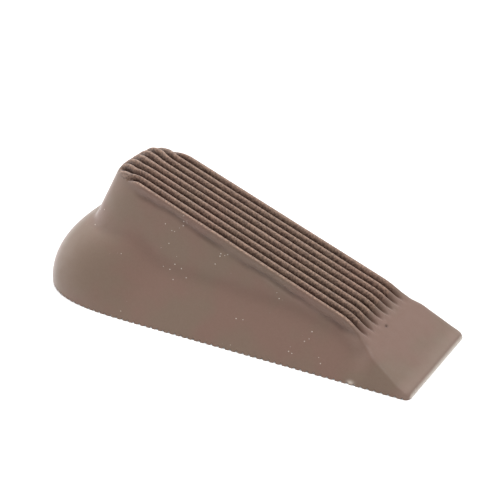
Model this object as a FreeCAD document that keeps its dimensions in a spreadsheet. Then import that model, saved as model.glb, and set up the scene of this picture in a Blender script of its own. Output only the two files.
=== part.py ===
import FreeCAD, Part
import math
import os
import re

import Sketcher

# One-piece moulded rubber door stop: a low flared foot with a rounded heel, a drafted
# column whose sloping top carries lengthwise ribs, a smooth apron down to a thin tip,
# and fine cross grooves under the sole.
#
# Frame: +X towards the tip, +Y across, +Z up. Origin on the floor, at the middle of the
# length and the width. "Run" is the distance back from the tip: x = length/2 - run.

DIMENSIONS = [
    ("length", 171.45, "tip to heel"),
    ("width", 88.9, "across the heel, the widest place"),
    ("height", 50.8, "floor to the highest rib"),
    ("tip_width", 48.6, "foot width at the tip"),
    ("heel_start", 110.0, "run where the foot's outline starts to round"),
    ("heel_power", 3.2, "squareness of the heel's outline"),
    ("dome_height", 29.5, "height at which the heel's dome would close behind"),
    ("dome_side_height", 25.0, "the same at its sides"),
    ("dome_inset", 29.0, "how far the dome has come in at that height"),
    ("skirt_slope_tip", 0.46, "side skirt at the tip, mm inwards per mm up"),
    ("skirt_slope_front", 0.56, "the same beside the apron"),
    ("skirt_slope_heel", 0.86, "the same from the bend back"),
    ("skirt_front_run", 16.0, "run over which the first turns into the second"),
    ("skirt_rise_start", 17.0, "run where the second starts to turn into the third"),
    ("skirt_rise_run", 10.0, "run that this takes"),
    ("dome_blend_start", 116.0, "run where the flat skirt starts to swell into the dome"),
    ("dome_blend_end", 158.0, "run where it is all dome"),
    ("strip_width", 33.4, "width of the ribbed strip"),
    ("incline_angle", 16.0, "slope of the ribbed strip"),
    ("band_depth", 5.0, "upright band under the strip's edge"),
    ("band_blend", 2.0, "softness of the turn from band to drafted side"),
    ("column_draft", 0.42, "column's side, mm outwards per mm down"),
    ("column_start", 120.0, "run where the column's outline starts to round"),
    ("column_back", 144.4, "run of the column's back at full height"),
    ("column_power", 3.8, "squareness of the column's back"),
    ("crest_radius", 5.5, "rounding of the top edge at the back"),
    ("shoulder_height", 31.0, "height clear above the foot behind the column"),
    ("lip_height", 1.6, "thickness of the tip"),
    ("lip_round", 1.2, "rounding of its upper edge"),
    ("apron_angle", 29.0, "slope of the smooth apron"),
    ("apron_run", 21.5, "run where the apron ends"),
    ("bend_run", 31.5, "run where the strip bends down to the apron"),
    ("bend_radius", 15.0, "rounding of that bend"),
    ("rib_pitch", 3.86, "rib spacing"),
    ("groove_count", 8, "grooves between nine ribs"),
    ("groove_depth", 1.8, "depth of a rib groove"),
    ("groove_floor", 0.7, "width of its floor"),
    ("groove_throat", 1.3, "width where its flare starts"),
    ("groove_mouth", 3.0, "width at the crests of the ribs"),
    ("flare_depth", 0.8, "depth of that flare"),
    ("groove_exit_run", 18.0, "run where a groove has risen clear of the apron"),
    ("tread_pitch", 2.68, "spacing of the cross grooves in the sole"),
    ("tread_count", 63, "how many there are"),
    ("tread_depth", 0.55, "depth of a cross groove"),
    ("tread_width", 1.3, "width of a cross groove"),
]

OVERRUN = 3.0  # how far blanks and cutters run past the finished surface, mm
BACK_GAP = 0.3  # how far the column's back stays inside the side view's back line, mm
FOOT_LEVELS = [-OVERRUN, 0.0, 5.0, 10.0, 14.0, 17.5, 20.5, 23.0, 25.0, 27.5]
COLUMN_DEPTHS = [-OVERRUN, 0.0, 3.0, 5.0, 7.0, 11.0, 18.0, 26.0, 34.0]
FOOT_RUNS = [-OVERRUN, 4.0, 9.0, 13.0, 16.0, 19.0, 22.0, 25.0, 29.0, 36.0, 50.0, 70.0, 90.0]
COLUMN_RUNS = [-OVERRUN, 30.0, 60.0, 90.0]
ROUND_ANGLES = [8, 20, 33, 46, 58, 70, 80]  # degrees round each half of its back


def make_sheet(doc):
    """Write the driving dimensions into a spreadsheet, one aliased cell each."""
    sheet = doc.addObject("Spreadsheet::Sheet", "Dimensions")
    for row, (alias, value, note) in enumerate(DIMENSIONS, start=1):
        sheet.set(f"A{row}", alias)
        sheet.set(f"B{row}", str(value))
        sheet.set(f"C{row}", note)
        sheet.setAlias(f"B{row}", alias)
    doc.recompute()
    return sheet


class Sizes:
    """The spreadsheet's values as plain numbers, and the shape laws built on them."""

    def __init__(self, sheet):
        for alias, _, _ in DIMENSIONS:
            setattr(self, alias, float(sheet.get(alias)))
        self.incline = math.tan(math.radians(self.incline_angle))
        self.side_taper = self.fit_side_taper()

    def fit_side_taper(self):
        """Widening of each side per mm of run that makes the heel as wide as stated."""
        low, high = 0.0, 0.5
        for _ in range(40):
            self.side_taper = (low + high) / 2
            widest = max(y for _, y in self.foot_outline(0.0))
            if widest > self.width / 2:
                high = self.side_taper
            else:
                low = self.side_taper
        return self.side_taper

    def crest_zero(self):
        """Height of the crest plane above the tip, with the back edge rounded."""
        radius = self.crest_radius
        lean = math.hypot(1.0, self.column_draft)
        apex_run = self.column_back + radius * (self.column_draft - lean)
        tilt = math.cos(math.radians(self.incline_angle))
        return self.height - radius + radius / tilt - self.incline * apex_run

    def crest(self, run):
        """Height of the ribs' crests at a run."""
        return self.crest_zero() + self.incline * run

    def dome_in(self, level, closing_height):
        """How far the heel's dome has come in at a level: a quarter ellipse."""
        rise = min(abs(level) / closing_height, 1.0)
        return self.dome_inset * (1.0 - math.sqrt(1.0 - rise * rise))

    def skirt_in(self, run, level):
        """How far the foot's side has come in: straight skirt in front, dome behind."""
        front = ease(run / self.skirt_front_run)
        rise = ease((run - self.skirt_rise_start) / self.skirt_rise_run)
        slope = self.skirt_slope_tip + (self.skirt_slope_front - self.skirt_slope_tip) * front
        slope = slope + (self.skirt_slope_heel - self.skirt_slope_front) * rise
        domed = ease((run - self.dome_blend_start) / (self.dome_blend_end - self.dome_blend_start))
        return (1.0 - domed) * slope * level + domed * self.dome_in(level, self.dome_side_height)

    def foot_outline(self, level):
        """Half outline of the foot at a level, as (run, y) from the tip to the heel."""
        def half_width(run):
            return self.tip_width / 2 + self.side_taper * run - self.skirt_in(run, level)

        heel = self.length - self.dome_in(level, self.dome_height)
        return half_outline(half_width, FOOT_RUNS, self.heel_start, heel, self.heel_power)

    def column_outline(self, depth):
        """Half outline of the column at a depth below the crest plane."""
        below = depth - self.band_depth
        spread = (below + math.hypot(below, self.band_blend)) / 2
        flat = self.strip_width / 2 + self.column_draft * spread
        drop = self.height - self.crest_zero() + depth
        back = self.column_back - BACK_GAP + self.column_draft * drop
        back = back / (1.0 + self.column_draft * self.incline)
        return half_outline(lambda run: flat, COLUMN_RUNS, self.column_start, back, self.column_power)


def ease(share):
    """Smooth step from 0 to 1."""
    share = min(max(share, 0.0), 1.0)
    return share * share * (3.0 - 2.0 * share)


def half_outline(half_width, side_runs, start, end, power):
    """Points (run, y): a straight or tapered side, then a superellipse to the back."""
    points = [(run, half_width(run)) for run in side_runs]
    for angle in [0] + ROUND_ANGLES:
        along = math.sin(math.radians(angle)) ** (2.0 / power)
        across = math.cos(math.radians(angle)) ** (2.0 / power)
        run = start + (end - start) * along
        points.append((run, half_width(run) * across))
    points.append((end, 0.0))
    return points


def outline_wire(sizes, outline, height_at, knots):
    """Closed wire through a half outline and its mirror image, with a straight front."""
    near = [FreeCAD.Vector(sizes.length / 2 - run, -y, height_at(run)) for run, y in outline]
    far = [FreeCAD.Vector(point.x, -point.y, point.z) for point in reversed(near[:-1])]
    points = near + far
    curve = Part.BSplineCurve()
    curve.interpolate(Points=points, Parameters=knots)
    front = Part.LineSegment(points[-1], points[0])
    return Part.Wire([curve.toShape(), front.toShape()])


def outline_knots(outline):
    """Curve parameters for an outline's points, by distance, shared by all its levels."""
    mirrored = outline + [(run, -y) for run, y in reversed(outline[:-1])]
    knots = [0.0]
    for before, after in zip(mirrored, mirrored[1:]):
        knots.append(knots[-1] + math.dist(before, after))
    return knots


def make_loft(doc, name, wires):
    """Solid through a stack of closed wires."""
    sections = []
    for number, wire in enumerate(wires, start=1):
        section = doc.addObject("Part::Feature", f"{name}_level_{number}")
        section.Shape = wire
        sections.append(section)
    loft = doc.addObject("Part::Loft", name)
    loft.Sections = sections
    loft.Solid = True
    loft.Ruled = False
    return loft


def make_foot(doc, sizes):
    knots = outline_knots(sizes.foot_outline(0.0))
    wires = []
    for level in FOOT_LEVELS:
        outline = sizes.foot_outline(level)
        wires.append(outline_wire(sizes, outline, lambda run, z=level: z, knots))
    return make_loft(doc, "foot_blank", wires)


def make_column(doc, sizes):
    knots = outline_knots(sizes.column_outline(0.0))
    wires = []
    for depth in COLUMN_DEPTHS:
        outline = sizes.column_outline(depth)
        wires.append(outline_wire(sizes, outline, lambda run, d=depth: sizes.crest(run) - d, knots))
    return make_loft(doc, "column_blank", wires)


def origin_plane(body, role):
    """One of a body's own origin planes or axes."""
    return next(item for item in body.Origin.OriginFeatures if item.Role == role)


def polygon_sketch(body, name, role, corners, offset=None, closed=True):
    """Sketch of straight lines; each corner is a pair of expressions on the sheet."""
    sketch = body.newObject("Sketcher::SketchObject", name)
    sketch.AttachmentSupport = [(origin_plane(body, role), "")]
    sketch.MapMode = "FlatFace"
    if offset:
        sketch.setExpression("AttachmentOffset.Base.z", offset)
    guides = [FreeCAD.Vector(10.0 * math.cos(turn), 10.0 * math.sin(turn), 0.0)
              for turn in (2.0 * math.pi * step / len(corners) for step in range(len(corners)))]
    ends = guides[1:] + guides[:1] if closed else guides[1:]
    for start, end in zip(guides, ends):
        sketch.addGeometry(Part.LineSegment(start, end), False)
    lines = len(ends)
    for line in range(lines - 1):
        sketch.addConstraint(Sketcher.Constraint("Coincident", line, 2, line + 1, 1))
    if closed:
        sketch.addConstraint(Sketcher.Constraint("Coincident", lines - 1, 2, 0, 1))
    for index, corner in enumerate(corners):
        line, end = (index, 1) if index < lines else (lines - 1, 2)
        guide = guides[index]
        for kind, value, expression in zip(("DistanceX", "DistanceY"), (guide.x, guide.y), corner):
            number = sketch.addConstraint(Sketcher.Constraint(kind, line, end, value))
            sketch.setExpression(f"Constraints[{number}]", expression)
    return sketch


def cell(text):
    """Expression with every alias of the sheet written out in full."""
    aliases = "|".join(sorted((alias for alias, _, _ in DIMENSIONS), key=len, reverse=True))
    return re.sub(rf"\b({aliases})\b", r"Dimensions.\1", text)


LEAN = "sqrt(1 + column_draft * column_draft)"
APEX_RUN = f"(column_back + crest_radius * (column_draft - {LEAN}))"
ROUND_LIFT = "crest_radius * (1 / cos(incline_angle) - 1)"
CREST_ZERO = f"(height + {ROUND_LIFT} - tan(incline_angle) * {APEX_RUN})"
BACK_DROP = f"column_draft * (height - {CREST_ZERO})"
BACK_RUN = f"((column_back + {BACK_DROP}) / (1 + column_draft * tan(incline_angle)))"


def crest_at(run):
    return f"({CREST_ZERO} + tan(incline_angle) * {run})"


def at_run(run):
    return f"(length / 2 - {run})"


def round_corners(doc, body, name, radius, sketch, numbers):
    """Fillet the edges that a pad has drawn across from some corners of its sketch."""
    corners = [sketch.Geometry[number].StartPoint for number in numbers]
    base = body.Tip
    edges = []
    for number, edge in enumerate(base.Shape.Edges, start=1):
        start = edge.Vertexes[0].Point
        end = edge.Vertexes[-1].Point
        crosses = abs(start.y - end.y) > 1.0
        if crosses and any(math.hypot(start.x - corner.x, start.z - corner.y) < 0.01 for corner in corners):
            edges.append(f"Edge{number}")
    fillet = body.newObject("PartDesign::Fillet", name)
    fillet.Base = (base, edges)
    fillet.setExpression("Radius", cell(radius))
    doc.recompute()


def make_side_prism(doc):
    """The side view, padded across: sole, lip, apron, ribbed incline and back edge."""
    body = doc.addObject("PartDesign::Body", "side_view")
    corners = [
        (at_run("0"), "0"),
        (at_run("0"), "lip_height"),
        (at_run("apron_run"), "lip_height + apron_run * tan(apron_angle)"),
        (at_run("bend_run"), crest_at("bend_run")),
        (at_run(BACK_RUN), crest_at(BACK_RUN)),
        (at_run("(column_back + column_draft * (height - shoulder_height))"), "shoulder_height"),
        (at_run("(length + 5)"), "shoulder_height"),
        (at_run("(length + 5)"), "0"),
    ]
    corners = [(cell(x), cell(z)) for x, z in corners]
    sketch = polygon_sketch(body, "side_view_sketch", "XZ_Plane", corners)
    pad = body.newObject("PartDesign::Pad", "side_view_pad")
    pad.Profile = sketch
    pad.Midplane = True
    pad.setExpression("Length", cell("width * 1.2"))
    doc.recompute()
    round_corners(doc, body, "bend_round", "bend_radius", sketch, (2, 3))
    round_corners(doc, body, "crest_round", "crest_radius", sketch, (4,))
    round_corners(doc, body, "lip_rounding", "lip_round", sketch, (1,))
    return body


def make_pattern(body, name, feature, axis, length, count):
    """Repeat a feature in equal steps along a body axis."""
    pattern = body.newObject("PartDesign::LinearPattern", name)
    pattern.Originals = [feature]
    pattern.Direction = (origin_plane(body, axis), [""])
    pattern.setExpression("Length", cell(length))
    pattern.setExpression("Occurrences", cell(count))
    body.Tip = pattern
    return pattern


def cut_rib_grooves(doc, body):
    """Lengthwise grooves: along the incline, down the bend and out over the apron."""
    spine = polygon_sketch(
        body, "groove_path", "XZ_Plane",
        [
            (cell(at_run("(column_back + 12)")), cell(crest_at("(column_back + 12)") + " - groove_depth")),
            (cell(at_run("bend_run")), cell(crest_at("bend_run") + " - groove_depth")),
            (cell(at_run("groove_exit_run")),
             cell("lip_height + groove_exit_run * tan(apron_angle) + 0.3 * groove_depth")),
        ],
        closed=False,
    )
    first = "(-rib_pitch * (groove_count - 1) / 2"
    floor = crest_at("(column_back + 12)") + " - groove_depth"
    steps = [("groove_floor", "0"), ("groove_throat", "groove_depth - flare_depth"),
             ("groove_mouth", "groove_depth"), ("groove_mouth", "groove_depth * 2")]
    right = [(f"{first} + {across} / 2)", f"{floor} + {up}") for across, up in steps]
    left = [(f"{first} - {across} / 2)", f"{floor} + {up}") for across, up in reversed(steps)]
    section = polygon_sketch(
        body, "groove_section", "YZ_Plane",
        [(cell(y), cell(z)) for y, z in right + left],
        offset=cell(at_run("(column_back + 12)")),
    )
    doc.recompute()
    groove = body.newObject("PartDesign::SubtractivePipe", "rib_groove")
    groove.Profile = section
    groove.Spine = (spine, ["Edge1", "Edge2"])
    groove.Transition = "Right corner"
    doc.recompute()
    make_pattern(body, "rib_grooves", groove, "Y_Axis", "rib_pitch * (groove_count - 1)", "groove_count")
    doc.recompute()


def cut_treads(doc, body):
    """Fine cross grooves in the sole, with flat lands between them on the floor."""
    first = "(-tread_pitch * (tread_count - 1) / 2"
    section = polygon_sketch(
        body, "tread_section", "XZ_Plane",
        [
            (cell(f"{first} - tread_width / 2)"), "0"),
            (cell(f"{first})"), cell("tread_depth")),
            (cell(f"{first} + tread_width / 2)"), "0"),
            (cell(f"{first})"), cell("-tread_depth")),
        ],
    )
    tread = body.newObject("PartDesign::Pocket", "tread")
    tread.Profile = section
    tread.Midplane = True
    tread.setExpression("Length", cell("width * 1.2"))
    doc.recompute()
    make_pattern(body, "treads", tread, "X_Axis", "tread_pitch * (tread_count - 1)", "tread_count")
    doc.recompute()


def check(doc, parts):
    """Stop if any object failed, or a sub-part is not one sound solid."""
    for item in doc.Objects:
        if "Invalid" in item.State or "Error" in item.State:
            raise RuntimeError(f"{item.Name} failed: {item.State}")
    for part in parts:
        if part.Shape.isNull() or not part.Shape.isValid() or len(part.Shape.Solids) != 1:
            raise RuntimeError(f"{part.Label} is not one valid solid")


def main():
    doc = FreeCAD.newDocument("door_stop")
    sizes = Sizes(make_sheet(doc))
    skin = doc.addObject("Part::Fuse", "skin_blank")
    skin.Base = make_foot(doc, sizes)
    skin.Tool = make_column(doc, sizes)
    doc.recompute()
    blank = doc.addObject("Part::Common", "blank")
    blank.Base = make_side_prism(doc)
    blank.Tool = skin
    doc.recompute()
    wedge = doc.addObject("PartDesign::Body", "wedge")
    wedge.Label = "wedge_body"
    wedge.BaseFeature = blank
    doc.recompute()
    cut_rib_grooves(doc, wedge)
    cut_treads(doc, wedge)
    parts = [wedge]
    check(doc, parts)
    os.makedirs("parts", exist_ok=True)
    for part in parts:
        part.Shape.exportStep(f"parts/{part.Label}.step")


main()
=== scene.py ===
import math

import bmesh
import bpy
import numpy as np
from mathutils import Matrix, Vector
from mathutils.geometry import delaunay_2d_cdt


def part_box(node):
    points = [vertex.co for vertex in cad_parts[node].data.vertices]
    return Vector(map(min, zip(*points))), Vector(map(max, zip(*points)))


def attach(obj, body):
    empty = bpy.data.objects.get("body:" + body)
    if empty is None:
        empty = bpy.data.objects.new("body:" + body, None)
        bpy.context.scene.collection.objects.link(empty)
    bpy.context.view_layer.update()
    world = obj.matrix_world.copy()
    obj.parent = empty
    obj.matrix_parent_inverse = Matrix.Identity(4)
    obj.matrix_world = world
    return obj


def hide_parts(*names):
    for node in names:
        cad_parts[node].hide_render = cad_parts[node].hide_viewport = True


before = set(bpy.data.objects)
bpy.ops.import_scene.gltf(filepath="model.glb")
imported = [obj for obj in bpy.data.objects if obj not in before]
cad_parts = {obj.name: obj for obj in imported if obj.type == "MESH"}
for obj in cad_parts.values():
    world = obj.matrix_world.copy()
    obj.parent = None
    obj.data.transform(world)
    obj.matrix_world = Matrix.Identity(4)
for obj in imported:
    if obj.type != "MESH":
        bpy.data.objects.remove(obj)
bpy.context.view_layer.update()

# A one-piece moulded rubber door stop: a low flared foot with a domed heel, a drafted column
# with a ribbed sloping top, a smooth apron down to a thin tip, and a sole with cross grooves.
#
# Shapes are worked out in millimetres as (run, y, z). Run is the distance back from the tip, so
# x = TIP_X - run. Each surface is an "inset": how far a point lies inside it, negative outside.
# Rays cast from inside the body find its skin, and the mesh is built on those points.

MM = 0.001
low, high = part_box("wedge_body")
LENGTH = (high.x - low.x) / MM
WIDTH = (high.y - low.y) / MM
HEIGHT = (high.z - low.z) / MM
TIP_X = high.x / MM

# Foot: half its width at the tip, the tip's corners, and the superellipse that closes the heel.
TIP_HALF, CORNER_RADIUS = 24.3, 2.4
HEEL_START, HEEL_POWER = 110.0, 3.2
# The side comes in by these amounts per mm of height: at the tip, behind it, and at the heel.
SKIRT_TIP, SKIRT_FRONT, SKIRT_HEEL = 0.46, 0.56, 0.86
SKIRT_FRONT_LENGTH, SKIRT_RISE_FROM, SKIRT_RISE_LENGTH = 16.0, 17.0, 10.0
# Towards the heel the section turns into part of an ellipse of this height and depth.
DOME_HEIGHT, DOME_SIDE_HEIGHT, DOME_INSET = 29.5, 25.0, 29.0
DOME_FROM, DOME_LENGTH, DOME_LIMIT = 116.0, 42.0, 60.0

# Column: half width of its top strip, draft, and the superellipse that closes its back.
STRIP_HALF, DRAFT = 16.7, 0.42
COLUMN_START, COLUMN_BACK, COLUMN_POWER = 120.0, 144.4, 3.8
INCLINE = math.tan(math.radians(16.0))
VALLEY_BLEND = 0.9
SLOPE_LEAST, SLOPE_MOST = 0.5, 2.0
# An upright band runs under the strip's edge, this deep at these runs, before the draft starts.
BAND_RUNS = [20.0, 25.0, 33.0, 45.0, 60.0, 80.0, 100.0, 130.0]
BAND_DEPTHS = [0.8, 2.0, 4.2, 5.7, 6.2, 5.4, 4.4, 4.2]
BAND_BLEND = 0.7
# A shallow crease wanders along the band, this deep below the crests at these runs.
CREASE_RUNS = [20.0, 25.0, 33.0, 45.0, 57.0, 67.0, 77.0, 87.0, 97.0, 106.0, 116.0, 126.0]
CREASE_DEPTHS = [1.0, 2.2, 4.3, 4.6, 4.3, 3.6, 4.9, 4.2, 4.2, 3.8, 3.5, 4.3]
CREASE_CUT, CREASE_SIZE, CREASE_UNEVEN = 0.40, 1.0, 0.55
CREASE_FROM, CREASE_FROM_LENGTH = 20.0, 16.0
CREASE_END, CREASE_END_LENGTH = 124.0, 9.0
CREASE_WANDER, CREASE_RAGGED, RAGGED_RATE = 0.45, 0.25, 2.7
# The strip widens a little where it runs out at the front.
FLARE, FLARE_FROM, FLARE_LENGTH = 0.06, 22.0, 13.0

# Top: a thin rounded lip, the apron, a bend to the incline, and the rounding of its edge.
LIP, LIP_ROUND = 1.6, 1.2
APRON = math.tan(math.radians(29.0))
APRON_RUN, BEND_RUN, BEND_BLEND = 21.5, 31.5, 1.0
CROWN_RADIUS, CROWN_FRONT, CROWN_BACK, CROWN_FADE = 400.0, 1.0, 21.0, 6.0
CREST_RADIUS, EDGE_RADIUS = 5.5, 1.2
ROLL_TURN, ROLL_TURN_SPAN = 22.0, 34.0

# Ribs: pitch, number of grooves, and half the section of one groove, across and down.
PITCH, GROOVES = 3.86, 8
GROOVE_ACROSS = [0.0, 0.24, 0.40, 0.58, 0.82, 1.08, 1.36, 1.65, 1.93]
GROOVE_DOWN = [2.7, 2.6, 2.1, 1.5, 1.0, 0.58, 0.25, 0.06, 0.0]
GROOVE_FROM, GROOVE_FULL = 21.0, 28.5
GROOVE_STAGGER, GROOVE_UNEVEN = 0.5, 0.06
# Grooves run out over the roll at the back, the outer ones first, and fan out there.
ROLL_FROM, ROLL_LENGTH = 1.6, 3.0
CORNER_RUN, CORNER_BOW, CORNER_FADE = 150.0, 0.100, 5.5
FAN, FAN_FROM, FAN_LENGTH = 0.15, 130.0, 6.0
# The ribs waver from side to side, but not at the strip's edges or at the front.
WAVER, WAVER_HALF, WAVER_FADE = 0.10, 15.2, 1.0
WAVER_FROM, WAVER_LENGTH = 22.0, 8.0

# A small nick at the top of the apron, and a pale chip low on the near side.
NICK_RUN, NICK_Y, NICK_SIZE, NICK_DEPTH, NICK_STRETCH = 21.1, -3.5, 0.45, 0.4, 0.7
CHIP_RUN, CHIP_LENGTH, CHIP_HEIGHT = 23.0, 1.2, 0.7

# Sole: V grooves across it, this many on each side of the middle one.
TREAD_PITCH, TREAD_HALF, TREAD_DEPTH, TREADS = 2.68, 0.75, 0.7, 31

# Painted shade in the crease, on the band, in the valley over the foot, in the grooves, at their ends
# and in the nick.
CREASE_SHADE, BAND_SHADE, BAND_SHADE_BLEND = 0.34, 0.15, 0.8
VALLEY_SHADE, VALLEY_SHADE_SIZE = 0.10, 0.9
GROOVE_SHADE_POWER, NICK_SHADE, END_SHADE, END_DROP = 1.4, 0.9, 0.2, 4.0
SHADE_FROM, SHADE_LENGTH = 20.0, 14.0
ROLL_LESS_SHADE, ROLL_LESS_SHADE_FROM, ROLL_LESS_SHADE_LENGTH = 0.6, 1.2, 2.6
# Pale wear behind the tip, and a painted highlight on the lip itself.
TIP_WEAR, TIP_WEAR_FROM, TIP_WEAR_LENGTH = 0.10, 1.0, 6.0
LIP_HIGHLIGHT, LIP_HIGHLIGHT_LENGTH = 1.2, 0.5

OLIVE = (0.147, 0.096, 0.067, 1.0)
REDDISH = (0.158, 0.090, 0.066, 1.0)
# Dark colour laid on for painted shade, and for the rubber's fine grain.
SHADE_AND_GRAIN_DARK = (0.036, 0.012, 0.005, 1.0)
# Light colour laid on the rib tops as a painted highlight.
PAINTED_CREST_LIGHT = (0.370, 0.222, 0.150, 1.0)
# Pale colour for specks, dust, wear and a chip, and for a painted highlight on the lip.
PALE = (0.52, 0.46, 0.40, 1.0)

# Wall mesh: rows from the sole to the top's edge, closer together in the band and at the edge.
LOW_ROWS, BAND_ROWS, EDGE_ROWS = 28, 28, 9
WALL_ROWS = LOW_ROWS + BAND_ROWS + EDGE_ROWS - 2
BAND_ZONE, BAND_EXTRA, BAND_MOST = 9.5, 2.0, 0.6
EDGE_TURN, EDGE_EXTRA, EDGE_MOST = 2.2, 0.3, 0.25
EDGE_SHARE, ROLL_SHARE = 0.30, 0.06
FIRST_LIFT, FIRST_SHARE = 0.68, 0.45
CURVE_SAMPLES, STEEPEST = 260, math.pi / 2 - 0.02
TIP_RUNS = [0.0, 0.05, 0.2, 0.5, 0.9, 1.4]
HEEL_CENTRE, HEEL_LAST, BACK_RAYS = HEEL_START + 6.0, 0.985, 44
WALL_REACH, TOP_REACH, HALVINGS = 130.0, 60.0, 34

# Top mesh: lines across it, as (start, end, step) of their runs, and lines beside the ribs.
LIP_RUNS = [0.12, 0.3, 0.7, 1.2]
TOP_STEPS = [(2.0, 20.0, 1.2), (20.0, 36.0, 0.6), (36.0, 126.0, 0.9), (126.0, 150.0, 0.45)]
STRIP_LINES = [-16.0, -15.75, 16.0, 15.75]
SIDE_LINES = [-22.0, -20.5, -19.0, -17.7, 17.7, 19.0, 20.5, 22.0]
NICK_REACH, NICK_LINES, NICK_SHIFT_RUN, NICK_SHIFT_Y = 1.0, 9, 0.013, 0.007
FRONT_STEPS, EDGE_MARGIN = 40, 0.16
TRIANGLES_INSIDE, SAME_POINT = 1, 1e-6
WELD = 1e-7
SHARP_ANGLE = math.radians(50.0)
TINY, TINIEST = 1e-9, 1e-12

# Studio: (name, place, target, size, power) of each light, in metres and watts.
LIGHTS = [
    ("overhead", (0.2, 0.1, 1.2), (0.0, 0.0, 0.0), 0.8, 7.0),
    ("back_left", (-0.7, 0.6, 1.0), (0.0, 0.0, 0.0), 0.9, 12.0),
    ("left", (-1.1, -0.2, 0.5), (0.0, 0.0, 0.02), 0.8, 3.4),
    ("low_left", (-0.9, -0.55, 0.22), (-0.04, 0.0, 0.01), 0.8, 2.0),
    ("back", (0.30, 0.60, 0.55), (0.05, 0.0, 0.0), 0.5, 0.9),
]
WORLD_WHITE, WORLD_STRENGTH = (1.0, 1.0, 1.0, 1.0), 0.75
FLOOR_SIZE, FLOOR_WHITE, FLOOR_ROUGHNESS = 6.0, (0.93, 0.93, 0.93, 1.0), 0.9
SENSOR, LENS, SHIFT_X, SHIFT_Y, CLIP_END = 36.0, 83.197512, -0.0026, 0.0338, 20.0
AZIMUTH, ELEVATION = math.radians(33.627), math.radians(33.349)
DISTANCE, AIM_HEIGHT = 0.4741975, 0.015


def ease(share):
    """Smooth step from 0 to 1."""
    share = np.clip(share, 0.0, 1.0)
    return share * share * (3.0 - 2.0 * share)


def rise(value, start, length):
    """Smooth step up from 0 at a start to 1 a length later."""
    return ease((value - start) / length)


def fall(value, start, length):
    """Smooth step down from 1 at a start to 0 a length later."""
    return ease((start + length - value) / length)


def ripple(run, number):
    """Slow unevenness of a hand-finished mould, from -1 to 1, different for each number."""
    return (np.sin(run / 5.3 + 2.1 * number) + np.sin(run / 8.9 - 1.3 * number)
            + np.sin(run / 3.1 + 0.7 * number)) / 3.0


# ---- the body's surfaces ----

def rounded_inset(run, y, start, half, end, power):
    """Inset from straight sides that turn into a superellipse behind a start."""
    along = np.clip(run - start, 0.0, None)
    across = np.maximum(np.abs(y), TINY)
    share = ((along / (end - start)) ** power + (across / half) ** power) ** (1.0 / power)
    radius = np.hypot(along, across)
    return radius * (1.0 - share) / np.maximum(share, TINIEST)


def fit_taper():
    """Side taper, in mm per mm of run, that makes the foot as wide as the frame."""
    angle = np.radians(np.linspace(0.0, 90.0, 400))
    run = HEEL_START + (LENGTH - HEEL_START) * np.sin(angle) ** (2.0 / HEEL_POWER)
    across = np.cos(angle) ** (2.0 / HEEL_POWER)
    small, large = 0.0, 0.5
    for _ in range(40):
        taper = (small + large) / 2
        if np.max((TIP_HALF + taper * run) * across) > WIDTH / 2:
            large = taper
        else:
            small = taper
    return taper


TAPER = fit_taper()
# The incline is placed so that the roll at its back end is as high as the frame.
APEX_RUN = COLUMN_BACK + CREST_RADIUS * (DRAFT - math.hypot(1.0, DRAFT))
TILT = math.cos(math.atan(INCLINE))
CREST_ZERO = HEIGHT - CREST_RADIUS + CREST_RADIUS / TILT - INCLINE * APEX_RUN


def crest(run):
    """Height of the ribs' crests, as if the incline went on both ways."""
    return CREST_ZERO + INCLINE * run


def skirt_slope(run):
    """How fast the foot's side comes in, mm per mm of height."""
    front = SKIRT_TIP + (SKIRT_FRONT - SKIRT_TIP) * ease(run / SKIRT_FRONT_LENGTH)
    return front + (SKIRT_HEEL - SKIRT_FRONT) * rise(run, SKIRT_RISE_FROM, SKIRT_RISE_LENGTH)


def dome_inset(run, y, z, plan, half):
    """Inset from the heel's elliptical section, which is higher at the back than at the sides."""
    behind = np.clip(run - HEEL_START, 0.0, None) / (LENGTH - HEEL_START)
    sideways = np.abs(y) / half
    rear = behind ** 2 / (behind ** 2 + sideways ** 2 + TINY)
    height = DOME_SIDE_HEIGHT + (DOME_HEIGHT - DOME_SIDE_HEIGHT) * rear
    outwards = np.clip(1.0 - plan / DOME_INSET, 0.0, None)
    level = np.sqrt(outwards ** 2 + (z / height) ** 2) + TINY
    steepness = np.sqrt((outwards / DOME_INSET) ** 2 + (z / height ** 2) ** 2) / level + TINY
    return np.clip((1.0 - level) / steepness, -DOME_LIMIT, DOME_LIMIT)


def foot_inset(run, y, z):
    """Foot: straight skirt in front, turning into the domed heel."""
    near_tip = np.clip(CORNER_RADIUS - run, 0.0, CORNER_RADIUS)
    half = TIP_HALF + TAPER * run - (CORNER_RADIUS - np.sqrt(CORNER_RADIUS ** 2 - near_tip ** 2))
    plan = rounded_inset(run, y, HEEL_START, half, LENGTH, HEEL_POWER)
    slope = skirt_slope(run)
    skirt = (plan - slope * z) / np.sqrt(1.0 + slope * slope)
    dome = dome_inset(run, y, z, plan, half)
    return skirt + (dome - skirt) * rise(run, DOME_FROM, DOME_LENGTH)


def flare(run):
    """How much wider the strip is where it runs out at the front."""
    return 1.0 + FLARE * fall(run, FLARE_FROM, FLARE_LENGTH)


def below_band(run, z):
    """Distance below the upright band under the strip's edge."""
    return crest(run) - z - np.interp(run, BAND_RUNS, BAND_DEPTHS)


def below_crease(run, z):
    """Distance below the wandering crease in the band."""
    wander = CREASE_WANDER * ripple(run, 1.0) + CREASE_RAGGED * ripple(RAGGED_RATE * run, 5.0)
    return crest(run) - z - np.interp(run, CREASE_RUNS, CREASE_DEPTHS) - wander


def crease(run, z):
    """The shallow crease: a soft valley, uneven along its length, that runs out at both ends."""
    valley = np.exp(-(below_crease(run, z) / CREASE_SIZE) ** 2)
    front = rise(run, CREASE_FROM, CREASE_FROM_LENGTH)
    back = 1.0 - rise(run, CREASE_END, CREASE_END_LENGTH)
    return valley * front * back * (1.0 + CREASE_UNEVEN * ripple(run, 4.0))


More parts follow.
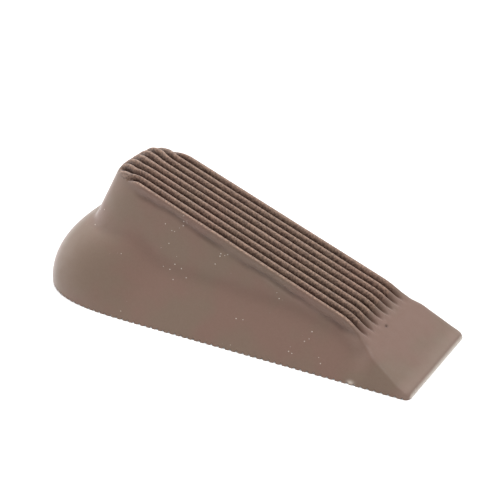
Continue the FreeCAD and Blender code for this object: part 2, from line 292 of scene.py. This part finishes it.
def column_raw(run, y, z):
    """Column's inset, before it is divided by its slope."""
    below = below_band(run, z)
    half = STRIP_HALF * flare(run) + DRAFT * (below + np.hypot(below, BAND_BLEND)) / 2
    half = half - CREASE_CUT * crease(run, z)
    back = COLUMN_BACK + DRAFT * (HEIGHT - z)
    return rounded_inset(run, y, COLUMN_START, half, back, COLUMN_POWER)


def column_inset(run, y, z):
    """Column's inset divided by its slope, so that blends have their size in mm."""
    step = 0.05
    here = column_raw(run, y, z)
    slope = np.sqrt((column_raw(run + step, y, z) - here) ** 2
                    + (column_raw(run, y + step, z) - here) ** 2
                    + (column_raw(run, y, z + step) - here) ** 2) / step
    return here / np.clip(slope, SLOPE_LEAST, SLOPE_MOST)


def wall_inset(run, y, z):
    """Foot and column together, with a small blend in the valley between them."""
    foot = foot_inset(run, y, z)
    column = column_inset(run, y, z)
    near = np.clip(VALLEY_BLEND - np.abs(foot - column), 0.0, None)
    return np.maximum(foot, column) + near * near / (4.0 * VALLEY_BLEND)


def top_height(run):
    """Side view of the top: lip, apron, bend and incline."""
    front = np.clip(LIP_ROUND - run, 0.0, LIP_ROUND)
    lip = LIP - LIP_ROUND + np.sqrt(LIP_ROUND ** 2 - front ** 2)
    apron_end = LIP + APRON_RUN * APRON
    bend = (crest(BEND_RUN) - apron_end) / (BEND_RUN - APRON_RUN)
    apron = lip + run * APRON + np.clip(run - APRON_RUN, 0.0, None) * (bend - APRON)
    ramp = crest(run)
    near = np.clip(BEND_BLEND - np.abs(apron - ramp), 0.0, None)
    return np.minimum(apron, ramp) - near * near / (4.0 * BEND_BLEND)


def crown(run, y):
    """How far the apron drops from its middle towards its sides."""
    where = rise(run, CROWN_FRONT, CROWN_FADE) * fall(run, CROWN_BACK, CROWN_FADE)
    return y * y / (2.0 * CROWN_RADIUS) * where


def edge_radius(run, y):
    """Rounding of the top edge: small at the sides, a broad roll at the back."""
    turn = np.degrees(np.arctan2(np.clip(run - COLUMN_START, 0.0, None), np.abs(y) + TINY))
    return EDGE_RADIUS + (CREST_RADIUS - EDGE_RADIUS) * rise(turn, ROLL_TURN, ROLL_TURN_SPAN)


def body_inset(run, y, z):
    """Wall and top together, with the rounded edge between them."""
    wall = wall_inset(run, y, z)
    top = (top_height(run) - crown(run, y) - z) * TILT
    radius = edge_radius(run, y)
    nearest = np.minimum(wall, top)
    corner = radius - np.hypot(np.clip(radius - wall, 0.0, None), np.clip(radius - top, 0.0, None))
    return np.where(nearest > radius, nearest, corner)


def surface_normal(points):
    """Outward normals of the body at points on it."""
    step = 0.02
    run, y, z = points.T
    slope = [body_inset(run + step, y, z) - body_inset(run - step, y, z),
             body_inset(run, y + step, z) - body_inset(run, y - step, z),
             body_inset(run, y, z + step) - body_inset(run, y, z - step)]
    normal = -np.stack(slope, axis=1)
    return normal / np.maximum(np.linalg.norm(normal, axis=1), TINY)[:, None]


def cast(origin, direction, reach):
    """Where rays that start inside the body leave it."""
    near = np.zeros(len(origin))
    far = np.full(len(origin), reach)
    for _ in range(HALVINGS):
        middle = (near + far) / 2
        run, y, z = (origin + direction * middle[:, None]).T
        inside = body_inset(run, y, z) > 0.0
        near = np.where(inside, middle, near)
        far = np.where(inside, far, middle)
    return origin + direction * near[:, None]


# ---- the wall ----

def tread_height(run):
    """Height of the sole's edge: zero on the lands, and up into each cross groove."""
    x = TIP_X - run
    nearest = np.clip(np.round(x / TREAD_PITCH), -TREADS, TREADS) * TREAD_PITCH
    return TREAD_DEPTH * np.clip(1.0 - np.abs(x - nearest) / TREAD_HALF, 0.0, 1.0)


def wall_runs():
    """Runs of the rays along the side: close at the tip, then four for every cross groove."""
    runs = list(TIP_RUNS)
    for number in range(TREADS, -TREADS - 1, -1):
        middle = TIP_X - number * TREAD_PITCH
        runs += [middle - TREAD_HALF, middle, middle + TREAD_HALF, middle + TREAD_PITCH / 2]
    return runs


def stations():
    """Plan rays for the wall: (foot of ray, direction), from the tip round to the back's middle."""
    rays = []
    for run in wall_runs():
        if run < HEEL_CENTRE:
            rays.append((run, 0.0, 0.0, 1.0))
            continue
        along = (run - HEEL_START) / (LENGTH - HEEL_START)
        if along >= HEEL_LAST:
            break
        y = (TIP_HALF + TAPER * run) * (1.0 - along ** HEEL_POWER) ** (1.0 / HEEL_POWER)
        size = math.hypot(run - HEEL_CENTRE, y)
        rays.append((HEEL_CENTRE, 0.0, (run - HEEL_CENTRE) / size, y / size))
    last = math.degrees(math.atan2(rays[-1][3], rays[-1][2]))
    for step in range(1, BACK_RAYS + 1):
        angle = math.radians(last * (1.0 - step / BACK_RAYS))
        rays.append((HEEL_CENTRE, 0.0, math.cos(angle), math.sin(angle)))
    return np.array(rays)


def at_height(rays, height):
    """Where the plan rays leave the body when lifted to given heights."""
    origin = np.column_stack([rays[:, 0], rays[:, 1], height])
    direction = np.column_stack([rays[:, 2], rays[:, 3], np.zeros(len(rays))])
    return cast(origin, direction, WALL_REACH)


def at_angle(rays, angle):
    """Where the plan rays leave the body when tilted up by given angles."""
    origin = np.column_stack([rays[:, 0], rays[:, 1], np.zeros(len(rays))])
    flat = np.cos(angle)
    direction = np.column_stack([rays[:, 2] * flat, rays[:, 3] * flat, np.sin(angle)])
    return cast(origin, direction, WALL_REACH)


def row_places(end, radius):
    """Places of a station's rows along its curve, which ends at the top's edge."""
    edge = min(EDGE_TURN * radius + EDGE_EXTRA, EDGE_MOST * end)
    band = min(max(BAND_ZONE, edge + BAND_EXTRA), BAND_MOST * end)
    lower = np.linspace(0.0, end - band, LOW_ROWS)
    middle = np.linspace(end - band, end - edge, BAND_ROWS)[1:]
    upper = np.linspace(end - edge, end, EDGE_ROWS)[1:]
    return np.concatenate([lower, middle, upper])


def row_angles(rays, lowest):
    """Tilt of each ray at each row, from the lowest up to where the wall turns into the top."""
    shares = np.linspace(0.0, 1.0, CURVE_SAMPLES)
    angles = lowest[:, None] + (STEEPEST - lowest[:, None]) * shares[None, :]
    samples = [at_angle(rays, angles[:, number]) for number in range(CURVE_SAMPLES)]
    curve = np.stack(samples, axis=1)
    run, y, z = np.moveaxis(curve, 2, 0)
    radius = edge_radius(run, y)
    rolled = ease((radius - EDGE_RADIUS) / (CREST_RADIUS - EDGE_RADIUS))
    gap = wall_inset(run, y, z) - (EDGE_SHARE + (ROLL_SHARE - EDGE_SHARE) * rolled) * radius
    steps = np.linalg.norm(np.diff(curve, axis=1), axis=2)
    length = np.column_stack([np.zeros(len(rays)), np.cumsum(steps, axis=1)])
    targets = np.zeros((len(rays), WALL_ROWS))
    for number in range(len(rays)):
        after = np.argmax(gap[number] > 0.0)
        before = after - 1
        share = -gap[number, before] / (gap[number, after] - gap[number, before])
        end = length[number, before] + share * (length[number, after] - length[number, before])
        places = row_places(end, radius[number, after])
        targets[number] = np.interp(places, length[number], angles[number])
    return targets


def wall_points(rays):
    """Wall vertices, one row of points per ray, from the sole's edge to the top's edge."""
    ground = at_height(rays, np.zeros(len(rays)))
    # the sole's edge follows the cross grooves
    sole = at_height(rays, tread_height(ground[:, 0]))
    first = at_height(rays, np.minimum(FIRST_LIFT, FIRST_SHARE * top_height(ground[:, 0])))
    lowest = np.arctan2(first[:, 2], np.hypot(first[:, 0] - rays[:, 0], first[:, 1] - rays[:, 1]))
    angles = row_angles(rays, lowest)
    rows = [at_angle(rays, angles[:, row]) for row in range(WALL_ROWS)]
    return np.stack([sole] + rows, axis=1)


def wall_painted_shade(run, y, z):
    """Painted shade on the wall: in the crease, on the band above it, and in the valley over the
    foot.
    """
    over_foot = foot_inset(run, y, z) - column_inset(run, y, z)
    band = BAND_SHADE * (0.5 - 0.5 * np.tanh(below_crease(run, z) / BAND_SHADE_BLEND))
    column = np.where(over_foot < 0.0, CREASE_SHADE * crease(run, z) + band, 0.0)
    return column + VALLEY_SHADE * np.exp(-(over_foot / VALLEY_SHADE_SIZE) ** 2)


# ---- the ribbed top ----

def spread(run):
    """How far the ribs spread: a little at the front, and fanned out where they run over the back."""
    return flare(run) * (1.0 + FAN * np.clip((run - FAN_FROM) / FAN_LENGTH, 0.0, 1.0) ** 2)


def groove_middle(across):
    """Middle of the groove nearest to a place across the ribs, before they spread."""
    return (np.clip(np.floor(across / PITCH), -GROOVES // 2, GROOVES // 2 - 1) + 0.5) * PITCH


def ended(run, middle):
    """How far a groove has run out at the back: the outer ones stop first."""
    return ease((run - CORNER_RUN + CORNER_BOW * middle ** 2) / CORNER_FADE)


def groove_depth(run, y, z):
    """Depth of the rib grooves, square to the surface; they run out at both ends."""
    across = y / spread(run)
    middle = groove_middle(across)
    down = np.interp(np.abs(across - middle), GROOVE_ACROSS, GROOVE_DOWN)
    start = GROOVE_FROM + GROOVE_STAGGER * ripple(middle * 9.0, 2.0)
    front = rise(run, start, GROOVE_FULL - GROOVE_FROM)
    back = 1.0 - rise(crest(run) - z, ROLL_FROM, ROLL_LENGTH) * (run > COLUMN_START)
    uneven = 1.0 + GROOVE_UNEVEN * ripple(run, middle)
    return down * front * back * (1.0 - ended(run, middle)) * uneven


def rib_lines():
    """Values of y that follow the shape of every groove and rib."""
    lines = [-GROOVES / 2 * PITCH]
    for number in range(GROOVES):
        middle = (number - GROOVES / 2 + 0.5) * PITCH
        for across in GROOVE_ACROSS[:-1]:
            lines += [middle - across, middle + across]
        lines.append(middle + PITCH / 2)
    return np.unique(np.round(lines + STRIP_LINES, 4))


def top_runs():
    """Runs of the mesh lines across the top, closer together at the lip, the bend and the roll."""
    return np.unique(np.concatenate([LIP_RUNS] + [np.arange(*steps) for steps in TOP_STEPS]))


def inside_polygon(run, y, polygon, margin):
    """Which points lie inside a closed outline by more than a margin."""
    inside = np.zeros(len(run), bool)
    nearest = np.full(len(run), np.inf)
    ends = np.roll(polygon, -1, axis=0)
    for (ax, ay), (bx, by) in zip(polygon, ends):
        crosses = (ay > y) != (by > y)
        with np.errstate(divide="ignore", invalid="ignore"):
            at = ax + (y - ay) * (bx - ax) / (by - ay)
        inside ^= crosses & (run < at)
        dx, dy = bx - ax, by - ay
        size = max(dx * dx + dy * dy, TINIEST)
        share = np.clip(((run - ax) * dx + (y - ay) * dy) / size, 0.0, 1.0)
        nearest = np.minimum(nearest, np.hypot(run - ax - share * dx, y - ay - share * dy))
    return inside & (nearest > margin)


def top_grid(outline):
    """Plan points inside the top's outline: along every rib, and close together at the nick."""
    grid_run, grid_y = np.meshgrid(top_runs(), np.concatenate([rib_lines(), SIDE_LINES]))
    around = np.linspace(-NICK_REACH, NICK_REACH, NICK_LINES)
    nick_run, nick_y = np.meshgrid(around, around)
    # the shifts keep the nick's points off the other lines
    run = np.concatenate([grid_run.ravel(), NICK_RUN + NICK_SHIFT_RUN + nick_run.ravel()])
    y = np.concatenate([(grid_y * spread(grid_run)).ravel(), NICK_Y + NICK_SHIFT_Y + nick_y.ravel()])
    keep = inside_polygon(run, y, outline, EDGE_MARGIN)
    return np.column_stack([run[keep], y[keep]])


def triangulate(outline, inner):
    """Fill an outline with triangles: (plan points, triangles, the inputs behind each point)."""
    places = [Vector((run, y)) for run, y in np.concatenate([outline, inner])]
    count = len(outline)
    loop = [(number, (number + 1) % count) for number in range(count)]
    filled = delaunay_2d_cdt(places, loop, [], TRIANGLES_INSIDE, SAME_POINT, True)
    points, _, triangles, origins, _, _ = filled
    plan = np.array([(point.x, point.y) for point in points])
    centre = np.array([(plan[a] + plan[b] + plan[c]) / 3.0 for a, b, c in triangles])
    kept = inside_polygon(centre[:, 0], centre[:, 1], outline, 0.0)
    return plan, [triangle for triangle, keep in zip(triangles, kept) if keep], origins


def carve_top(plan):
    """The top's points, with grooves and nick cut in, and how much painted shade each point gets."""
    origin = np.column_stack([plan, np.zeros(len(plan))])
    surface = cast(origin, np.tile([0.0, 0.0, 1.0], (len(plan), 1)), TOP_REACH)
    run, y, z = surface.T
    depth = groove_depth(run, y, z)
    nick = np.exp(-(np.hypot(run - NICK_RUN, NICK_STRETCH * (y - NICK_Y)) / NICK_SIZE) ** 2)
    carved = surface - surface_normal(surface) * (depth + NICK_DEPTH * nick)[:, None]
    middle = groove_middle(y / spread(run))
    within = fall(np.abs(y), WAVER_HALF, WAVER_FADE) * rise(run, WAVER_FROM, WAVER_LENGTH)
    carved[:, 1] += WAVER * within * ripple(run, middle)
    # painted shade: in the grooves and the nick, fading in behind the front, less over the roll, and
    # at the grooves' ends
    drop = (crest(run) - z) * (run > COLUMN_START)
    kept = 1.0 - ROLL_LESS_SHADE * rise(drop, ROLL_LESS_SHADE_FROM, ROLL_LESS_SHADE_LENGTH)
    shade_share = rise(run, SHADE_FROM, SHADE_LENGTH) * kept
    top_shade = (depth / GROOVE_DOWN[0]) ** GROOVE_SHADE_POWER * shade_share + NICK_SHADE * nick
    top_shade += END_SHADE * ended(run, middle) * (drop < END_DROP)
    return carved, top_shade


# ---- the whole mesh ----

def wear_and_lip_highlight(run, y, z):
    """How pale the rubber is: worn along the tip's edge, with a painted highlight on the lip itself,
    and at a chip low on the near side.
    """
    tip = TIP_WEAR * fall(run, TIP_WEAR_FROM, TIP_WEAR_LENGTH)
    # painted highlight on the lip's face
    lip = LIP_HIGHLIGHT * fall(run, 0.0, LIP_HIGHLIGHT_LENGTH)
    chip = np.exp(-((run - CHIP_RUN) / CHIP_LENGTH) ** 2 - ((z - CHIP_HEIGHT) / CHIP_HEIGHT) ** 2)
    return np.maximum(tip + lip, np.where(y < 0.0, chip, 0.0))


def wall_faces(count, rows):
    """Quads between neighbouring stations of the wall."""
    faces = []
    for station in range(count - 1):
        for row in range(rows - 1):
            corner = station * rows + row
            faces.append((corner, corner + rows, corner + rows + 1, corner + 1))
    return faces


def lip_face(count, rows, front):
    """The upright front of the tip, between the first and last stations of the wall."""
    last = (count - 1) * rows
    loop = list(range(rows)) + front[::-1] + list(range(last + rows - 1, last - 1, -1))
    return tuple(reversed(loop))


def sole_faces(count, rows):
    """Strips of the sole from side to side, ending in a triangle at the back's middle."""
    faces = []
    for station in range(count // 2):
        a, b = station * rows, (station + 1) * rows
        c, d = (count - 2 - station) * rows, (count - 1 - station) * rows
        faces.append((a, d, b) if b == c else (a, d, c, b))
    return faces


def join_top(edge, origins, first):
    """Vertex number of each plan point: on the edge the wall's own, inside a new one from first on.

    Also lists which plan points are the new ones.
    """
    index, fresh = [], []
    for number, sources in enumerate(origins):
        shared = [source for source in sources if source < len(edge)]
        if shared:
            index.append(edge[shared[0]])
        else:
            index.append(first + len(fresh))
            fresh.append(number)
    return index, fresh


def make_mesh(vertices, faces, paint):
    """Closed smooth mesh in metres, with each paint as an attribute of its points."""
    run, y, z = vertices.T
    mesh = bpy.data.meshes.new("door_stop")
    mesh.from_pydata(np.column_stack([(TIP_X - run) * MM, y * MM, z * MM]).tolist(), [], faces)
    for name, values in paint.items():
        attribute = mesh.attributes.new(name, "FLOAT", "POINT")
        attribute.data.foreach_set("value", values.astype(np.float32))
    mesh.validate()
    work = bmesh.new()
    work.from_mesh(mesh)
    bmesh.ops.remove_doubles(work, verts=work.verts, dist=WELD)
    bmesh.ops.recalc_face_normals(work, faces=work.faces)
    work.to_mesh(mesh)
    work.free()
    mesh.shade_smooth()
    mesh.set_sharp_from_angle(angle=SHARP_ANGLE)
    return mesh


def build_body():
    """The door stop: wall, lip, sole and top in one closed mesh."""
    half = wall_points(stations())
    wall = np.concatenate([half, half[-2::-1] * np.array([1.0, -1.0, 1.0])])
    count, rows = wall.shape[:2]
    wall = wall.reshape(-1, 3)
    left, right = wall[-1], wall[rows - 1]
    shares = np.arange(1, FRONT_STEPS) / FRONT_STEPS
    vertices = np.concatenate([wall, left + (right - left) * shares[:, None]])
    front = list(range(len(wall), len(vertices)))
    edge = list(range(rows - 1, len(wall), rows)) + front
    outline = vertices[edge, :2]
    plan, triangles, origins = triangulate(outline, top_grid(outline))
    index, fresh = join_top(edge, origins, len(vertices))
    carved, top_shade = carve_top(plan)
    top = carved[fresh]
    faces = wall_faces(count, rows) + [lip_face(count, rows, front)] + sole_faces(count, rows)
    faces += [tuple(index[number] for number in triangle) for triangle in triangles]
    # painted shade, kept as a paint of the mesh: crease, band and valley on the wall, grooves and
    # nick on the top
    painted_shade = np.concatenate([wall_painted_shade(*wall.T), np.zeros(len(front)), top_shade[fresh]])
    on_ribs = np.where(top[:, 0] > GROOVE_FULL, 1.0, 0.0)
    ribbed = np.concatenate([np.zeros(len(vertices)), on_ribs])
    vertices = np.concatenate([vertices, top])
    # pale wear and a chip, and a painted highlight on the lip
    wear_and_highlight = wear_and_lip_highlight(*vertices.T)
    # nothing pale on the sole, whose edge is the first row of the wall
    wear_and_highlight[0:count * rows:rows] = 0.0
    mesh = make_mesh(vertices, faces, {"painted_shade": painted_shade, "ribbed": ribbed, "wear_and_highlight": wear_and_highlight})
    piece = bpy.data.objects.new("door_stop", mesh)
    bpy.context.scene.collection.objects.link(piece)
    return piece


# ---- the rubber ----

class Nodes:
    """Short ways to add linked nodes to a material."""

    def __init__(self, tree):
        self.nodes = tree.nodes
        self.links = tree.links
        self.place = self.nodes.new("ShaderNodeTexCoord").outputs["Object"]

    def put(self, value, socket):
        """Link an output to a socket, or set the socket to a plain value."""
        if isinstance(value, (float, tuple)):
            socket.default_value = value
        else:
            self.links.new(value, socket)

    def noise(self, scale, detail):
        """Soft cloudy pattern."""
        node = self.nodes.new("ShaderNodeTexNoise")
        node.inputs["Scale"].default_value = scale
        node.inputs["Detail"].default_value = detail
        self.links.new(self.place, node.inputs["Vector"])
        return node.outputs["Fac"]

    def remap(self, value, start, end, to_start, to_end):
        """A value's range turned into another one, and held inside it."""
        node = self.nodes.new("ShaderNodeMapRange")
        self.links.new(value, node.inputs["Value"])
        node.inputs["From Min"].default_value = start
        node.inputs["From Max"].default_value = end
        node.inputs["To Min"].default_value = to_start
        node.inputs["To Max"].default_value = to_end
        return node.outputs["Result"]

    def combine(self, operation, first, second):
        """Arithmetic on two values."""
        node = self.nodes.new("ShaderNodeMath")
        node.operation = operation
        self.put(first, node.inputs[0])
        self.put(second, node.inputs[1])
        return node.outputs["Value"]

    def blend(self, share, first, second):
        """A share of the second colour laid over the first."""
        node = self.nodes.new("ShaderNodeMix")
        node.data_type = "RGBA"
        self.links.new(share, node.inputs["Factor"])
        self.put(first, node.inputs["A"])
        self.put(second, node.inputs["B"])
        return node.outputs["Result"]

    def attribute(self, name):
        """A paint of the mesh."""
        node = self.nodes.new("ShaderNodeAttribute")
        node.attribute_name = name
        return node.outputs["Fac"]

    def specks(self, scale, size, share):
        """Round dots of a size, in a share of the cells of a random pattern."""
        node = self.nodes.new("ShaderNodeTexVoronoi")
        node.inputs["Scale"].default_value = scale
        self.links.new(self.place, node.inputs["Vector"])
        dot = self.combine("LESS_THAN", node.outputs["Distance"], size)
        chosen = self.nodes.new("ShaderNodeSeparateColor")
        self.links.new(node.outputs["Color"], chosen.inputs["Color"])
        return self.combine("MULTIPLY", dot, self.combine("LESS_THAN", chosen.outputs["Red"], share))


def rubber_colour(kit, grain, ribbed):
    """Olive and red drift, painted highlight on rib tops, painted shade with fine grain, pale specks
    and wear, painted lip highlight.
    """
    painted_shade = kit.attribute("painted_shade")
    drift = kit.remap(kit.noise(48.0, 2.0), 0.40, 0.60, 0.0, 1.0)
    colour = kit.blend(drift, OLIVE, REDDISH)
    # painted highlight: the rib tops, where no shade is painted, are lightened
    unshaded = kit.combine("POWER", kit.combine("SUBTRACT", 1.0, painted_shade), 4.0)
    crest_highlight = kit.combine("MULTIPLY", kit.combine("MULTIPLY", ribbed, unshaded), 0.5)
    colour = kit.blend(crest_highlight, colour, PAINTED_CREST_LIGHT)
    # grain shows mostly on the ribs
    amount = kit.remap(ribbed, 0.0, 1.0, 0.05, 0.62)
    darker = kit.combine("MULTIPLY", kit.remap(grain, 0.38, 0.62, 1.0, 0.0), amount)
    # painted shade from the mesh's paint, darkening the colour together with the grain
    shade_amount = kit.combine("MULTIPLY", kit.combine("POWER", painted_shade, 0.85), 0.95)
    colour = kit.blend(kit.combine("ADD", shade_amount, darker), colour, SHADE_AND_GRAIN_DARK)
    patch = kit.remap(kit.noise(70.0, 1.0), 0.61, 0.64, 0.0, 1.0)
    dust = kit.combine("MULTIPLY", kit.specks(650.0, 0.16, 0.35), patch)
    pale = kit.combine("MAXIMUM", kit.specks(105.0, 0.030, 0.30), dust)
    pale = kit.combine("MULTIPLY", pale, kit.combine("SUBTRACT", 1.0, ribbed))
    # pale wear and a chip, and a painted highlight on the lip, from the mesh's paint
    pale = kit.combine("MAXIMUM", pale, kit.attribute("wear_and_highlight"))
    return kit.blend(kit.combine("MULTIPLY", pale, 0.75), colour, PALE)


def rubber():
    """Brown rubber with a soft sheen, and a fine bump that is strongest on the ribs."""
    material = bpy.data.materials.new("brown_rubber")
    material.use_nodes = True
    kit = Nodes(material.node_tree)
    shader = kit.nodes["Principled BSDF"]
    shader.inputs["Specular IOR Level"].default_value = 0.5
    shader.inputs["Sheen Weight"].default_value = 0.35
    shader.inputs["Sheen Roughness"].default_value = 0.35
    grain = kit.noise(1300.0, 3.0)
    ribbed = kit.attribute("ribbed")
    kit.put(rubber_colour(kit, grain, ribbed), shader.inputs["Base Color"])
    kit.put(kit.remap(kit.noise(240.0, 3.0), 0.3, 0.7, 0.47, 0.60), shader.inputs["Roughness"])
    bump = kit.nodes.new("ShaderNodeBump")
    bump.inputs["Strength"].default_value = 0.5
    bump.inputs["Distance"].default_value = 0.0001
    height = kit.combine("MULTIPLY", grain, kit.remap(ribbed, 0.0, 1.0, 0.3, 2.2))
    kit.put(height, bump.inputs["Height"])
    kit.put(bump.outputs["Normal"], shader.inputs["Normal"])
    return material


# ---- the studio ----

def make_stage():
    """A plain pale floor."""
    bpy.ops.mesh.primitive_plane_add(size=FLOOR_SIZE, location=(0.0, 0.0, 0.0))
    floor = bpy.context.object
    floor.name = "floor"
    material = bpy.data.materials.new("floor_white")
    material.use_nodes = True
    shader = material.node_tree.nodes["Principled BSDF"]
    shader.inputs["Base Color"].default_value = FLOOR_WHITE
    shader.inputs["Roughness"].default_value = FLOOR_ROUGHNESS
    floor.data.materials.append(material)


def make_world():
    """Even white light from all round."""
    world = bpy.data.worlds.new("studio")
    bpy.context.scene.world = world
    world.use_nodes = True
    background = world.node_tree.nodes["Background"]
    background.inputs["Color"].default_value = WORLD_WHITE
    background.inputs["Strength"].default_value = WORLD_STRENGTH


def make_light(name, location, target, size, power):
    """A round soft light aimed at a target."""
    data = bpy.data.lights.new(name, "AREA")
    data.shape = "DISK"
    data.size = size
    data.energy = power
    light = bpy.data.objects.new(name, data)
    light.location = location
    light.rotation_euler = (Vector(target) - Vector(location)).to_track_quat("-Z", "Y").to_euler()
    bpy.context.scene.collection.objects.link(light)


def make_camera():
    """The camera, in front of the tip on the near side, aimed just above the floor."""
    data = bpy.data.cameras.new("camera")
    data.sensor_width = SENSOR
    data.lens = LENS
    data.shift_x = SHIFT_X
    data.shift_y = SHIFT_Y
    data.clip_end = CLIP_END
    camera = bpy.data.objects.new("camera", data)
    flat = DISTANCE * math.cos(ELEVATION)
    height = AIM_HEIGHT + DISTANCE * math.sin(ELEVATION)
    camera.location = (flat * math.sin(AZIMUTH), -flat * math.cos(AZIMUTH), height)
    camera.rotation_euler = (math.pi / 2 - ELEVATION, 0.0, AZIMUTH)
    bpy.context.scene.collection.objects.link(camera)
    bpy.context.scene.camera = camera


body = build_body()
body.data.materials.append(rubber())
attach(body, "root")
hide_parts("wedge_body")

make_stage()
make_world()
for light in LIGHTS:
    make_light(*light)
make_camera()
bpy.context.scene.view_settings.view_transform = "Standard"

bpy.context.view_layer.update()
